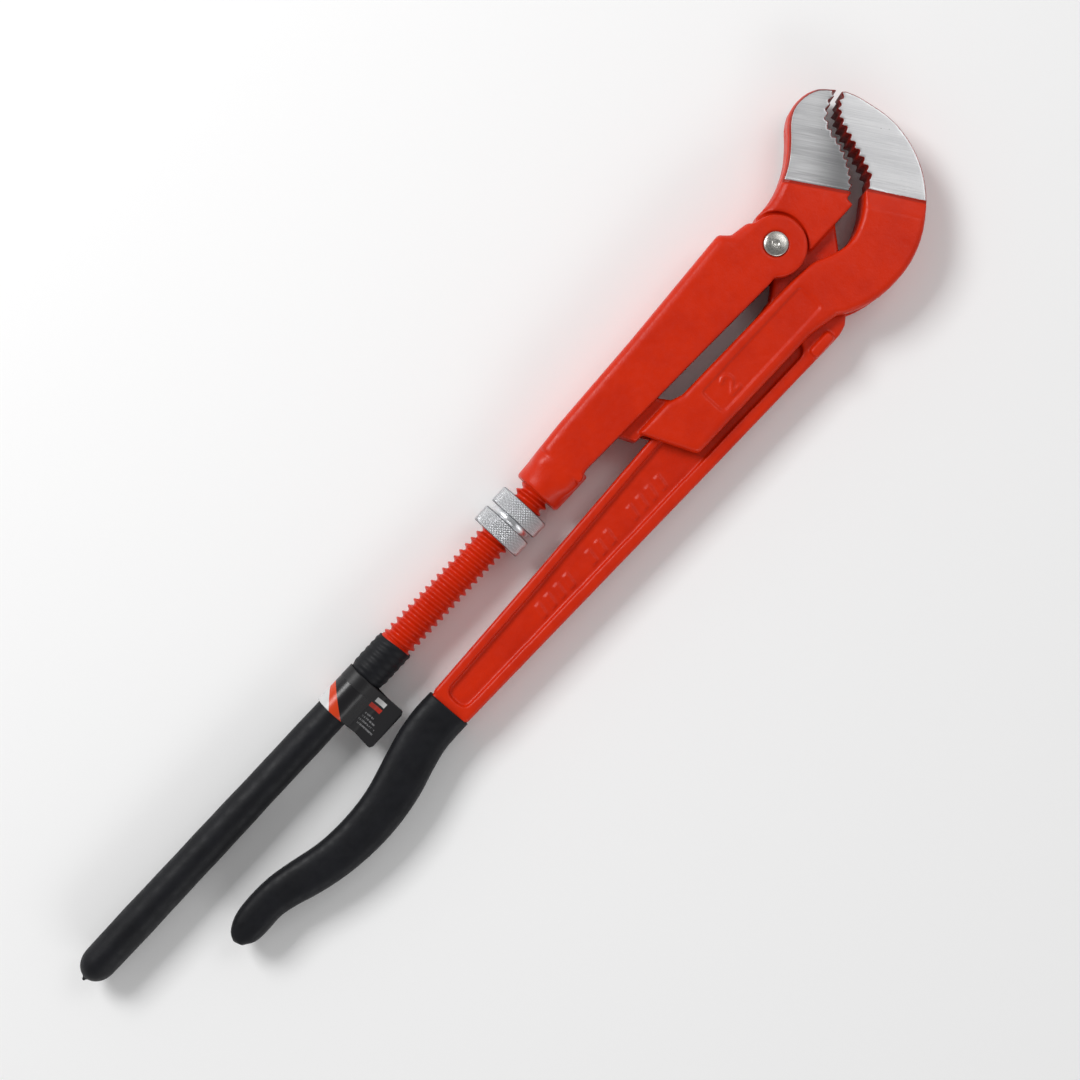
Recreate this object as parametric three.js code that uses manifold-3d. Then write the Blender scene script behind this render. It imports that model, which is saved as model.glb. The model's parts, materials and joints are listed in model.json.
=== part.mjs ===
// Swedish-pattern (S-jaw) pipe wrench, 2 inch size, lying on its back with the jaws closed.
//
// Millimetres. The tool is drawn about its rivet: +X runs up the spindle to the jaws, +Y points
// away from the lever, +Z is the tool's front. The last lines move it to the middle of its own
// box, with its back face on z = 0.

import * as THREE from "three";
import { mergeVertices } from "three/addons/utils/BufferGeometryUtils.js";
import ManifoldModule from "manifold-3d";

const wasm = await ManifoldModule();
wasm.setup();

// ---- driving dimensions ----------------------------------------------------------------------

const GAP = 0.3; // between pieces that touch
const RUN = 0.4; // between pieces that move on each other
const THREAD_RUN = 0.6; // radial play of the nut on its coarse thread

// layers through the tool, as half thicknesses about its middle plane
const LINK_HALF = 13.8; // outside of the channel and its ears
const CHANNEL_HALF = 9.1; // inside of the channel
const HUB_HALF = CHANNEL_HALF - RUN; // lever boss between the ears
const BRIDGE_HALF = CHANNEL_HALF - 0.5; // hook's shank where it runs inside the channel
const HOOK_HALF = 12; // outside of the hook and its two cheeks
const SLOT_HALF = 6.3; // inside of the cheeks
const LEVER_HALF = SLOT_HALF - GAP; // lever handle, which passes between the cheeks
const WEB_HALF = 3.2; // web of the lever's I section
const JAW_HALF = 11; // small jaw behind its ground faces
const GROUND_HALF = 9.5; // ground side faces of both jaws
const STOP_HALF = 8.5; // stop boss at the top of the lever
const LEVER_GRIP_HALF = 7.4;

// spindle, its thread and its nut
const AXIS_Y = 2.7; // spindle axis above the rivet
const PITCH = 4; // right-handed
const CREST_R = 8.65;
const ROOT_R = 6.65;
const THREAD = [-260, -160]; // threaded length
const TENON = [-116, -98]; // plain end held in the hook's shank
const TENON_R = 6;
const NUT = [-192.5, -171.2];
const NUT_R = 13.65;
const NUT_GROOVE_R = 10.5;
const RING_WIDTH = 9;

// channel and rivet
const SLEEVE = [-163.5, -139]; // round guide at the foot of the channel
const SLEEVE_R = 12.6;
const EAR = { x: -0.5, y: -0.8, r: 15 };
const HUB_R = 14.6;
const RELIEF_R = 16; // thick part of the small jaw stops this far from the rivet
const RIVET_R = 5;
const RIVET_HEAD_R = 5.9;
const RIVET_DOME = 1.3; // front head above the ear

// grips
const LEVER_GRIP_END = -266; // open end, toward the jaws
const SPINDLE_GRIP_END = -261;
const SPINDLE_TIP = -477.4;
const CORE_R = 7;
const DIP = 1.5; // thickness of the plastic on the lever

// ---- small geometry kit ----------------------------------------------------------------------

const vec = ([x, y]) => new THREE.Vector3(x, y, 0);
const through = (points) => new THREE.CatmullRomCurve3(points.map(vec), false, "centripetal");

// [x, y] pairs along a smooth curve through the given points
function curve(points, steps = 3) {
  return through(points).getPoints(steps * (points.length - 1)).map((p) => [p.x, p.y]);
}

// [x, y] pairs on an arc, angles in degrees
function arc(x, y, r, from, to, steps) {
  return Array.from({ length: steps + 1 }, (_, i) => {
    const angle = THREE.MathUtils.degToRad(from + ((to - from) * i) / steps);
    return [x + r * Math.cos(angle), y + r * Math.sin(angle)];
  });
}

// corners given as [x, y] stay sharp, those given as [x, y, radius] become arcs
function rounded(corners, steps = 4) {
  return corners.flatMap(([x, y, r], i) => {
    if (!r) return [[x, y]];
    const here = new THREE.Vector2(x, y);
    const [before, after] = [corners.at(i - 1), corners[(i + 1) % corners.length]]
      .map(([px, py]) => new THREE.Vector2(px, py).sub(here).normalize());
    const half = Math.acos(THREE.MathUtils.clamp(before.dot(after), -1, 1)) / 2;
    const centre = before.clone().add(after).normalize().multiplyScalar(r / Math.sin(half));
    const start = before.clone().multiplyScalar(r / Math.tan(half)).sub(centre);
    const end = after.clone().multiplyScalar(r / Math.tan(half)).sub(centre);
    const sweep = Math.atan2(start.cross(end), start.dot(end));
    return Array.from({ length: steps + 1 }, (_, k) => {
      const spoke = start.clone().rotateAround(new THREE.Vector2(), (sweep * k) / steps);
      return [x + centre.x + spoke.x, y + centre.y + spoke.y];
    });
  });
}

// a row of pointed teeth: tips on the guide line, roots to the right of its direction
function teeth(guide, count, depth, lean = 0) {
  const line = through(guide);
  return Array.from({ length: 2 * count + 1 }, (_, k) => {
    const at = Math.min((k / 2 + (k % 2 ? lean : 0)) / count, 1);
    const point = line.getPointAt(at);
    const along = line.getTangentAt(at);
    const sink = k % 2 ? depth : 0;
    return [point.x + along.y * sink, point.y - along.x * sink];
  });
}

// the same closed outline moved inward by a distance
function inset(points, distance) {
  const centre = (k) => points[(k + points.length) % points.length];
  const area = THREE.ShapeUtils.area(points.map(([x, y]) => new THREE.Vector2(x, y)));
  return points.map(([x, y], i) => {
    const along = vec(centre(i + 1)).sub(vec(centre(i - 1))).normalize();
    const inward = Math.sign(area) * distance;
    return [x - along.y * inward, y + along.x * inward];
  });
}

// a closed three.js mesh as a manifold solid
function solid(geometry) {
  geometry.deleteAttribute("normal");
  geometry.deleteAttribute("uv");
  const welded = mergeVertices(geometry, 1e-4);
  const { array } = welded.index;
  const faces = [];
  for (let i = 0; i < array.length; i += 3) {
    const [a, b, c] = array.slice(i, i + 3);
    if (a !== b && b !== c && c !== a) faces.push(a, b, c);
  }
  return new wasm.Manifold(new wasm.Mesh({
    numProp: 3,
    vertProperties: new Float32Array(welded.attributes.position.array),
    triVerts: new Uint32Array(faces),
  }));
}

// an outline extruded to z = -half .. half; inset and drop round its front and back edges
function slab(points, half, edge = 0, rounds = 2, drop = edge) {
  const shape = new THREE.Shape(points.map(([x, y]) => new THREE.Vector2(x, y)));
  const geometry = new THREE.ExtrudeGeometry(shape, {
    depth: 2 * (half - (edge ? drop : 0)),
    bevelEnabled: edge > 0,
    bevelSize: edge,
    bevelOffset: -edge,
    bevelThickness: drop,
    bevelSegments: rounds,
  });
  return solid(geometry.translate(0, 0, (edge ? drop : 0) - half));
}

// an outline extruded between two heights
function plate(points, z0, z1) {
  return slab(points, (z1 - z0) / 2).translate([0, 0, (z0 + z1) / 2]);
}

// [distance along, radius] pairs turned about the +Y axis, listed in that direction
function lathe(profile, segments) {
  return new THREE.LatheGeometry(profile.map(([along, r]) => new THREE.Vector2(r, along)), segments);
}

// turned about the spindle axis, or about the rivet
const onSpindle = (profile, segments = 40) =>
  solid(lathe(profile, segments).rotateZ(-Math.PI / 2).translate(0, AXIS_Y, 0));
const onRivet = (profile, segments = 28) => solid(lathe(profile, segments).rotateX(Math.PI / 2));

const spindleRod = (x0, x1, r, segments) => onSpindle([[x0, 0], [x0, r], [x1, r], [x1, 0]], segments);
const rivetDisc = (half, r, segments) =>
  onRivet([[-half, 0], [-half, r], [half, r], [half, 0]], segments);

// a rod whose surface follows a right-handed thread, grown by a clearance
function threadedRod(x0, x1, clearance = 0, around = 16, perPitch = 4) {
  const rings = Math.round(((x1 - x0) / PITCH) * perPitch);
  const positions = [x0, AXIS_Y, 0, x1, AXIS_Y, 0];
  const index = [];
  for (let i = 0; i <= rings; i++) {
    const x = x0 + ((x1 - x0) * i) / rings;
    for (let k = 0; k < around; k++) {
      const angle = (2 * Math.PI * k) / around;
      const wave = Math.cos(2 * Math.PI * (x / PITCH) - angle);
      const r = (CREST_R + ROOT_R) / 2 + ((CREST_R - ROOT_R) / 2) * wave + clearance;
      positions.push(x, AXIS_Y + r * Math.cos(angle), r * Math.sin(angle));
      const [a, b] = [2 + i * around + k, 2 + i * around + ((k + 1) % around)];
      if (i === 0) index.push(0, b, a);
      if (i === rings) index.push(1, a, b);
      else index.push(a, b, a + around, b, b + around, a + around);
    }
  }
  const geometry = new THREE.BufferGeometry();
  geometry.setAttribute("position", new THREE.Float32BufferAttribute(positions, 3));
  return solid(geometry.setIndex(index));
}

const union = (...solids) => solids.reduce((sum, next) => sum.add(next));
const mirrored = (piece) => piece.add(piece.mirror([0, 0, 1]));

// a long cutter that runs beside the line from a to b: its section is given as [out, z] pairs,
// where out is the distance to the right of the line, and it is repeated on the back
function sideCutter([ax, ay], [bx, by], section) {
  const along = new THREE.Vector3(bx - ax, by - ay, 0).normalize();
  const out = new THREE.Vector3(along.y, -along.x, 0);
  const shape = new THREE.Shape(section.map(([o, z]) => new THREE.Vector2(o, z)));
  const geometry = new THREE.ExtrudeGeometry(shape, { depth: 140, bevelEnabled: false });
  const up = new THREE.Vector3(0, 0, 1);
  geometry.translate(0, 0, -70);
  // section x runs out, section y runs up and the length runs against the line
  geometry.applyMatrix4(new THREE.Matrix4().makeBasis(out, up, along.clone().negate())
    .setPosition((ax + bx) / 2, (ay + by) / 2, 0));
  return mirrored(solid(geometry));
}

// ---- channel link ----------------------------------------------------------------------------

// seen from the front: long channel, web along the top, ears round the rivet
const LINK_TOP = [[-163.5, 14.9], [-134, 17.2], [-80, 19.4], [-14.8, 23.3, 1.2], [-10.6, 18.5, 1.5],
  [-1.5, 17.1, 0.8]];
const LINK_BOTTOM = [[-15, -10.8, 1.5], [-50, -9.7], [-90, -8.6], [-142, -7], [-143.5, -9], [-163.5, -9.9]];

function linkOutline() {
  const ears = arc(EAR.x, EAR.y, EAR.r, 86, -140, 22);
  return rounded([...LINK_TOP, ...ears, ...LINK_BOTTOM]);
}

function linkChannel() {
  // the cover carries the round outside corners of the channel, and stands clear of the open side
  const cover = [[-170, 14.4], [-134, 17.2], [-80, 19.4], [-14.8, 23.3], [-10.6, 18.5], [-2, 17.1],
    [30, 17.1], [30, -40], [-170, -40]];
  const body = slab(linkOutline(), LINK_HALF)
    .intersect(slab(cover, LINK_HALF, 5, 3))
    .intersect(slab([[-147, -40], [-147, 40], [40, 40], [40, -40]], LINK_HALF, 1.2, 1));
  const sleeve = onSpindle([[SLEEVE[0], 0], [SLEEVE[0], SLEEVE_R - 1], [SLEEVE[0] + 1, SLEEVE_R],
    [SLEEVE[1], SLEEVE_R], [SLEEVE[1], 0]]);
  const inside = slab(rounded([[-141, 12.4], [-60, 13.7], [-14, 15.2], [40, 15.2], [40, -40],
    [-141, -40]]), CHANNEL_HALF);
  const bore = spindleRod(SLEEVE[0] - 5, -135, CREST_R + RUN, 40);
  return union(body, sleeve).subtract(inside).subtract(bore).subtract(rivetHole());
}

// ---- rivet -----------------------------------------------------------------------------------

// shank with a flush countersunk tail and a low domed head that fills its own countersink
function rivetProfile(grow, top) {
  const sink = 2.2;
  return [[-LINK_HALF - (grow ? 1 : 0), 0], [-LINK_HALF - (grow ? 1 : 0), RIVET_HEAD_R + grow],
    [-LINK_HALF + 0.2, RIVET_HEAD_R + grow], [-LINK_HALF + sink, RIVET_R + grow],
    [LINK_HALF - sink, RIVET_R + grow], [LINK_HALF - 0.2, RIVET_HEAD_R + grow], ...top];
}

const rivetHole = () => onRivet(rivetProfile(GAP, [[LINK_HALF + 2, RIVET_HEAD_R + GAP],
  [LINK_HALF + 2, 0]]));

function pivotRivet() {
  const dome = Array.from({ length: 5 }, (_, i) => {
    const angle = (Math.PI / 2) * (i / 5);
    return [LINK_HALF + 0.2 + (RIVET_DOME - 0.2) * Math.sin(angle), RIVET_HEAD_R * Math.cos(angle)];
  });
  return onRivet(rivetProfile(0, [...dome, [LINK_HALF + RIVET_DOME, 0]]));
}

// ---- lever: small jaw, boss, crossing arm and I-section handle in one forging -------------------

const JAW_BACK = [[3.5, 15.8], [10, 15.7], [18, 16.8], [26, 19.4], [34, 23.6], [42, 30], [47, 34.8],
  [53, 38.4], [59, 39.2], [65, 38.3], [70, 35.8], [74.6, 30.6]];
const JAW_TEETH = [[75.6, 28.6], [70, 27.1], [65.5, 25.2], [61.6, 22.2], [59.2, 17], [57.2, 9],
  [54, 2], [50.4, -3.4], [46.6, -7.4]];
const JAW_HEEL = [[43.6, -7.9], [43.3, -9.7], [39.7, -9.7], [39.6, -14]];
const HANDLE_TOP = [[-265.7, -25.8], [-190, -23.1], [-112, -19.8], [-60, -18.1], [-30, -17.1],
  [-20, -16.2], [-14.6, -12.6]];
const HANDLE_BOTTOM = [[0.5, -47.2], [-4, -50.6], [-9, -51.9], [-18, -51.9], [-100, -50.7],
  [-200, -48.9], [-265.7, -47.7]];

const gripTop = () => curve([[-266, -24.9], [-278, -24.9], [-290, -26.4], [-306, -30.4], [-322, -34.6],
  [-339, -36.1], [-356, -35], [-372, -31.2], [-384, -28.8], [-397, -28.2], [-408, -29.5],
  [-414.6, -33], [-417.3, -37.2]]);
const gripBottom = () => curve([[-415.6, -41.6], [-410, -45], [-402, -45.7], [-393, -45.5],
  [-384, -47.7], [-372, -51.8], [-356, -55.6], [-338, -57.5], [-322, -57.1], [-306, -54.7],
  [-294, -51.4], [-283, -48.9], [-272, -48.4], [-266, -48.5]]);
// the grip's outline, carried up the handle past its open end
const gripCover = () => [[-240, -24.9], ...gripTop().slice(1), ...gripBottom().slice(0, -1), [-240, -48.4]];

// what the plastic surrounds: the grip's outline shrunk by its thickness, cut off short of the tip
function gripCore(thickness, half, tip, end, edge) {
  const ends = slab([[tip, -90], [end, -90], [end, 0], [tip, 0]], half);
  return slab(inset(gripCover(), thickness), half, edge, 1).intersect(ends);
}

function jawLever() {
  const jaw = [[2.6, 13], ...curve(JAW_BACK), ...teeth(JAW_TEETH, 12, 2, 0.2), ...JAW_HEEL];
  const cover = [[-20, -30], [-20, 15.8], ...curve(JAW_BACK, 2), [84, 20], [95, -30]];
  const thick = slab([...jaw, [10, -14]], JAW_HALF)
    .intersect(slab(cover, JAW_HALF, 4, 2, 5))
    .subtract(rivetDisc(JAW_HALF + 1, RELIEF_R, 60));
  const neck = slab([...jaw, [12, -8], [0, 0]], HUB_HALF).intersect(rivetDisc(HUB_HALF, RELIEF_R + 3, 60));
  const hub = rivetDisc(HUB_HALF, HUB_R, 60);
  const handle = slab([...HANDLE_TOP, [0, 0], [30, -6], [28.4, -14], [20, -24.2], ...HANDLE_BOTTOM],
    LEVER_HALF, 1, 1);
  const tang = gripCore(DIP + GAP, LEVER_HALF - 0.6, -409.7, -262, 1);
  const stop = slab(rounded([[-25.5, -46.2, 1.5], [-12, -46.2, 1.5], [-12, -51.2, 1.5],
    [-25.5, -51.6, 1.5]]), STOP_HALF, 0.8, 1);
  return union(thick, neck, hub, handle, tang, stop)
    .subtract(groundFace([26.5, 17.7], [44, -9.9], 0))
    .subtract(handleRecess())
    .add(handleMarks())
    .subtract(rivetDisc(HUB_HALF + 4, RIVET_R + GAP + 0.1, 40));
}

// the pockets that leave an I section, front and back
function handleRecess() {
  const outline = rounded([[-262, -30.2, 4], [-200, -28.2], [-124, -24.6], [-60, -22.4], [-27, -21.5, 5],
    [-24, -45.6, 6], [-130, -44.5], [-190, -43.6], [-262, -42.6, 4]]);
  return mirrored(plate(outline, WEB_HALF, LEVER_HALF + 1));
}

// a rhythm of plain raised bars on the web, where a size marking would stand
function handleMarks() {
  const groups = [[-205, 4], [-170, 3], [-141, 4]];
  const bars = groups.flatMap(([x, count]) => Array.from({ length: count }, (_, i) => x + 6.5 * i));
  return mirrored(union(...bars.map((x) => plate([[x, -40.6], [x + 3, -40.6], [x + 4.4, -33.8],
    [x + 1.4, -33.8]], WEB_HALF - 0.3, WEB_HALF + 0.7))));
}

function leverGrip() {
  return slab([...gripTop(), ...gripBottom()], LEVER_GRIP_HALF)
    .intersect(slab(gripCover(), LEVER_GRIP_HALF, 3.4, 3))
    .subtract(gripCore(DIP, LEVER_HALF - 0.3, -410, -250, 0));
}

// ---- hook: fixed jaw and the slotted shank that carries the spindle ------------------------------

const HOOK_BACK = [[-4.5, -44.2], [2, -48.4], [9, -51.3], [18, -53.4], [28, -54], [38, -53],
  [50, -49], [62, -41.3], [70, -33.3], [76, -24.4], [80, -15], [82.2, -4], [82.2, 4], [81, 12],
  [79.3, 20], [77.3, 25.2]];
const HOOK_TEETH = [[53.6, -11.6], [57.2, -3.8], [59.7, 3.9], [62.4, 12], [65.3, 19.2], [69.4, 24],
  [75.6, 26.9]];
const HOOK_THROAT = [[51.6, -13.9], [48, -14.2], [44, -17.2], [38, -21.2], [30, -24.4], [22, -24.8],
  [13, -21.8], [6, -18.8], [-4, -17.6]];
const SHANK_TOP = [[-82, -16.2], [-90, -13.4], [-110, -13.5]];
const SHANK_FOOT = [[-97.5, -41, 3], [-20, -41.3, 8]];
const RAMP = { from: [46.5, -23], to: [57.5, -44.5], width: 7.4 }; // sloped band behind the face

function hookJaw() {
  const rim = [...SHANK_FOOT, ...curve(HOOK_BACK)];
  const body = rounded([...rim, ...teeth(HOOK_TEETH, 11, 2.4).reverse(), ...curve(HOOK_THROAT), ...SHANK_TOP]);
  const cover = rounded([...rim, [75, 40], [30, 40], [30, 0], [50, -12.6], ...curve(HOOK_THROAT.slice(1)),
    ...SHANK_TOP]);
  const slot = slab([[-140, -70], [-140, 0], [27.5, 0], [27.2, -22], [24, -36], [18, -48], [14, -70]],
    SLOT_HALF);
  return slab(body, HOOK_HALF)
    .intersect(slab(cover, HOOK_HALF, 2.5, 2))
    .subtract(slot)
    .subtract(groundFace(RAMP.from, RAMP.to, RAMP.width))
    .subtract(cheekPanel())
    .add(sizeNumeral())
    .add(shankBridge());
}

// everything in front of the ground side face, reached by a slope of the given width
function groundFace(from, to, width) {
  const top = HOOK_HALF + 6;
  const section = [[0, HOOK_HALF + (width ? 0.01 : 0)], [width, GROUND_HALF + (width ? 0.6 : 0)],
    [width + 0.01, GROUND_HALF], [90, GROUND_HALF], [90, top], [0, top]];
  return sideCutter(to, from, width ? section : section.slice(2)).translate([0, 0, 0]);
}

// a shallow panel sunk in each cheek
function cheekPanel() {
  const outline = rounded([[-75.5, -22, 2], [-6.5, -22, 2], [-6.5, -36.3, 2], [-75.5, -36.3, 2]]);
  return mirrored(plate(outline, HOOK_HALF - 0.8, HOOK_HALF + 1));
}

// the size, two inches, raised in the panel
function sizeNumeral() {
  const [x, y, stroke] = [-66, -34, 1.5];
  const bowl = arc(x + 2.6, y + 6.6, 2.6, 160, -35, 8);
  const centre = [...bowl, [x, y + stroke / 2]];
  const outer = centre.map(([px, py], i) => {
    const [ax, ay] = centre[Math.max(i - 1, 0)];
    const [bx, by] = centre[Math.min(i + 1, centre.length - 1)];
    const length = Math.hypot(bx - ax, by - ay);
    return [[px - ((by - ay) / length) * stroke / 2, py + ((bx - ax) / length) * stroke / 2],
      [px + ((by - ay) / length) * stroke / 2, py - ((bx - ax) / length) * stroke / 2]];
  });
  const numeral = [...outer.map(([left]) => left), ...outer.map(([, right]) => right).reverse()];
  const foot = [[x - 0.5, y], [x + 5.6, y], [x + 5.6, y + stroke], [x - 0.5, y + stroke]];
  const base = HOOK_HALF - 1;
  return union(plate(numeral, base, HOOK_HALF - 0.2), plate(foot, base, HOOK_HALF - 0.2));
}

// the block that joins the cheeks inside the channel, bored for the spindle's tenon
function shankBridge() {
  const outline = rounded([[-118, -5], [-118, 11.4, 1.5], [-91, 11.4, 1.5], [-91, -9, 2], [-86.5, -15.4],
    [-113.5, -15.4, 1]]);
  return slab(outline, BRIDGE_HALF, 0.8, 1)
    .subtract(spindleRod(-125, TENON[1] + GAP, TENON_R + GAP, 24));
}

// ---- spindle, its grip and its nut ---------------------------------------------------------------

function threadedSpindle() {
  const thread = threadedRod(...THREAD);
  const neck = onSpindle([[THREAD[1] - 1, 0], [THREAD[1] - 1, ROOT_R], [THREAD[1], CREST_R - 0.4],
    [-119.5, CREST_R - 0.4], [-118 - GAP, TENON_R + 1.6], [-118 - GAP, TENON_R], [TENON[1], TENON_R],
    [TENON[1], 0]], 24);
  const handle = onSpindle([[SPINDLE_TIP + 6, 0], [SPINDLE_TIP + 6, CORE_R - 2], [SPINDLE_TIP + 8, CORE_R],
    [-285, CORE_R], [-283, CORE_R + 1], [THREAD[0] + 1, CORE_R + 1], [THREAD[0] + 1, 0]], 24);
  return union(thread, neck, handle);
}

function spindleGrip() {
  // fuller where the plastic covers the end of the thread, then swelling gently to a round tip
  const shaft = [[SPINDLE_GRIP_END - 1, 9.4], [-279.6, 9.4], [-282.6, 8.6], [-306, 8.35], [-345, 8.4],
    [-400, 8.65], [-450, 8.75], [-466, 8.6]];
  const tip = arc(0, 0, 1, 10, 76, 5).map(([c, s]) => [-467.4 - 10 * s, 8.5 * c]);
  const outside = [[SPINDLE_GRIP_END, 0], [SPINDLE_GRIP_END, 8.8], ...shaft, ...tip,
    [SPINDLE_TIP - 0.4, 1.3], [SPINDLE_TIP - 1.9, 0.8], [SPINDLE_TIP - 1.9, 0]].reverse();
  const inside = [[SPINDLE_TIP + 6 - GAP, 0], [SPINDLE_TIP + 6 - GAP, CORE_R - 2 + GAP],
    [SPINDLE_TIP + 8 - GAP, CORE_R + GAP], [-285 - GAP, CORE_R + GAP], [-283, CORE_R + 1 + GAP],
    [-250, CORE_R + 1 + GAP], [-250, 0]];
  return onSpindle(outside, 28).subtract(onSpindle(inside, 24));
}

function adjustingNut() {
  const [x0, x1] = NUT;
  const ring = (from, to) => [[from, NUT_R - 0.6], [from + 0.6, NUT_R], [to - 0.6, NUT_R], [to, NUT_R - 0.6]];
  const outside = [[x0, 0], ...ring(x0, x0 + RING_WIDTH), [x0 + RING_WIDTH, NUT_GROOVE_R],
    [x1 - RING_WIDTH, NUT_GROOVE_R], ...ring(x1 - RING_WIDTH, x1), [x1, 0]];
  const [from, to] = [PITCH * Math.floor(x0 / PITCH), PITCH * Math.ceil(x1 / PITCH)];
  const cutter = threadedRod(from, to, THREAD_RUN);
  return onSpindle(outside, 40).subtract(cutter);
}

// ---- hang tag: a printed paper loop round the grip with its ends stuck together as a flag ----------

function hangTag() {
  const [x0, x1] = [-306, -283];
  const [inner, outer] = [8.95, 9.35];
  const loop = onSpindle([[x0, inner], [x0, outer], [x1, outer], [x1, inner], [x0, inner]], 40);
  const [flagTop, flagFoot] = [AXIS_Y - inner - 0.1, -22.7];
  const flag = plate(rounded([[x0 - 0.9, flagFoot, 2], [x1 + 0.3, flagFoot, 2], [x1, flagTop],
    [x0, flagTop]]), -0.4, 0.4);
  return union(loop, flag);
}

// ---- scene -------------------------------------------------------------------------------------

const red = new THREE.MeshStandardMaterial({ color: 0xc8301a, roughness: 0.38, metalness: 0 });
const black = new THREE.MeshStandardMaterial({ color: 0x1e1f24, roughness: 0.5, metalness: 0 });
const zinc = new THREE.MeshStandardMaterial({ color: 0xc9cbcd, roughness: 0.32, metalness: 0.9 });
const chrome = new THREE.MeshStandardMaterial({ color: 0xdcdee0, roughness: 0.2, metalness: 1 });
const paper = new THREE.MeshStandardMaterial({ color: 0x24211f, roughness: 0.6, metalness: 0 });

function mesh(name, piece, material) {
  const { vertProperties, triVerts } = piece.getMesh();
  const geometry = new THREE.BufferGeometry();
  geometry.setAttribute("position", new THREE.Float32BufferAttribute(vertProperties, 3));
  geometry.setIndex(new THREE.Uint32BufferAttribute(triVerts, 1));
  geometry.computeVertexNormals();
  const item = new THREE.Mesh(geometry, material);
  item.name = name;
  return item;
}

const tool = new THREE.Group();
tool.add(
  mesh("link_channel", linkChannel(), red),
  mesh("pivot_rivet", pivotRivet(), chrome),
  mesh("jaw_lever", jawLever(), red),
  mesh("lever_grip", leverGrip(), black),
  mesh("hook_jaw", hookJaw(), red),
  mesh("threaded_spindle", threadedSpindle(), red),
  mesh("spindle_grip", spindleGrip(), black),
  mesh("adjusting_nut", adjustingNut(), zinc),
  mesh("hang_tag", hangTag(), paper),
);

// middle of the box on the Z axis, back face on the ground
const box = new THREE.Box3().setFromObject(tool);
const middle = box.getCenter(new THREE.Vector3());
tool.position.set(-middle.x, -middle.y, -box.min.z);

const pipeWrench = new THREE.Group();
pipeWrench.add(tool);
export default pipeWrench;
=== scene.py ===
"""Looks of the Swedish-pattern pipe wrench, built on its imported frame.

Metres. The frame's +X runs up the spindle to the jaws and +Z out of the tool's front. Sizes
below are in millimetres about the rivet, in the tool's middle plane, and place() turns them
into frame positions.
"""
import json
import math

import bmesh
import bpy
import numpy as np
from mathutils import Matrix, Vector
from mathutils.bvhtree import BVHTree


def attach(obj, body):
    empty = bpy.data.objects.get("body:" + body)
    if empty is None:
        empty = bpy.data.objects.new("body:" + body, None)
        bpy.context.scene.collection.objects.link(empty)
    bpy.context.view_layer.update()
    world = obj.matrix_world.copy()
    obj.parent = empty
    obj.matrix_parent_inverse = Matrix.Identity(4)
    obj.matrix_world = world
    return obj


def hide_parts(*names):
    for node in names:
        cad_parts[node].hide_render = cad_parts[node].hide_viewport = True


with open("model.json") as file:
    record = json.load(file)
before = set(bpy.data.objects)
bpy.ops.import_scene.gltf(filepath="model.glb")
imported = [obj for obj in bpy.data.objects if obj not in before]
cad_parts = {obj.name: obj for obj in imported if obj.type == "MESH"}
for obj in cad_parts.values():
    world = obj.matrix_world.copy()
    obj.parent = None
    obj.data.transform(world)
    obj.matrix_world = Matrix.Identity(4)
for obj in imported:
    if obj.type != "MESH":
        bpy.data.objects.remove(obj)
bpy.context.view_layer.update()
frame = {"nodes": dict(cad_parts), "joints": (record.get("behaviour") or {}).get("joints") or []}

MM = 0.001
JOINTS = {j["name"]: j for j in frame["joints"]}
RIVET = Vector(JOINTS["lever_pivot"]["pos_m"])
AXIS = Vector(JOINTS["nut_spin"]["pos_m"])  # a point on the spindle's axis
AXIS_Y = (AXIS.y - RIVET.y) / MM

# ---- sizes ---------------------------------------------------------------------------------

VOXEL = 0.5  # remesh step of the forgings
KEEP = 0.45  # share of a forging's faces left by the decimation
SEAM, SEAM_WIDTH = 0.16, 0.7  # height and half width of a forging's parting line
PITCH, CREST_R, ROOT_R = 4.0, 8.65, 6.65
CORE_R, NECK_R, TENON_R = 7.0, 8.25, 6.0
NUT_RING, NUT_GROOVE_R, KNURL_DEPTH, KNURL_COUNT = 9.0, 10.5, 0.42, 74
THREAD_RUN = 0.6  # radial play of the nut on its thread, as in the CAD
GROUND_HALF = 9.5  # half the width over a jaw's ground side faces
NOSE_X = -467.4  # where the spindle grip starts to round off to its tip

# where each jaw's ground side face starts; the face lies to the left of the line
LEVER_FACE = ((28.0, 15.3), (43.6, -9.3))
HOOK_FACE = ((51.0, -15.5), (64.5, -37.5))
# beyond these lines, again to the left, the jaws are hardly rounded
LEVER_STEP = ((26.5, 17.7), (44.0, -9.9))
HOOK_STEP = ((52.8, -19.1), (63.8, -40.6))
# regions with fine relief that are hardly rounded either: x from, x to, y from, y to
LEVER_BARS = (-212, -118, -42, -32)
HOOK_PANEL = (-77, -5, -38.5, -20)

# pressed bands by the ground faces: the line, the band's middle beyond it, half its width, its depth
PRESSED = {"hook_jaw": (HOOK_FACE, -4.9, 4.2, 0.45), "jaw_lever": (LEVER_FACE, -0.9, 0.8, 0.5)}
SIDE_FROM, SIDE_FULL = 5.5, 7.5  # the bands fade in between these distances from the middle plane

# the link's round sleeve, and the swelling that joins it to the square channel
SLEEVE_FOOT, SLEEVE_TOP, SLEEVE_R = -163.5, -147.0, 12.6
FLARE_END, FLARE_MOST, FLARE_TAPER, FLARE_POWER = -136, 3, 0.06, 5
FOOT_PASSES, FOOT_HALF = 50, 6  # extra smoothing round SLEEVE_TOP, and its half length


def place(x, y, z=0.0):
    """A point given in millimetres about the rivet, in frame metres."""
    return RIVET + Vector((x, y, z)) * MM


def vertex_rows(mesh, field="co"):
    """One row of three numbers for each vertex: its place, or its normal."""
    rows = np.zeros(len(mesh.vertices) * 3)
    mesh.vertices.foreach_get(field, rows)
    return rows.reshape(-1, 3)


def move_vertices(mesh, co):
    mesh.vertices.foreach_set("co", co.ravel())
    mesh.update()


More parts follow.
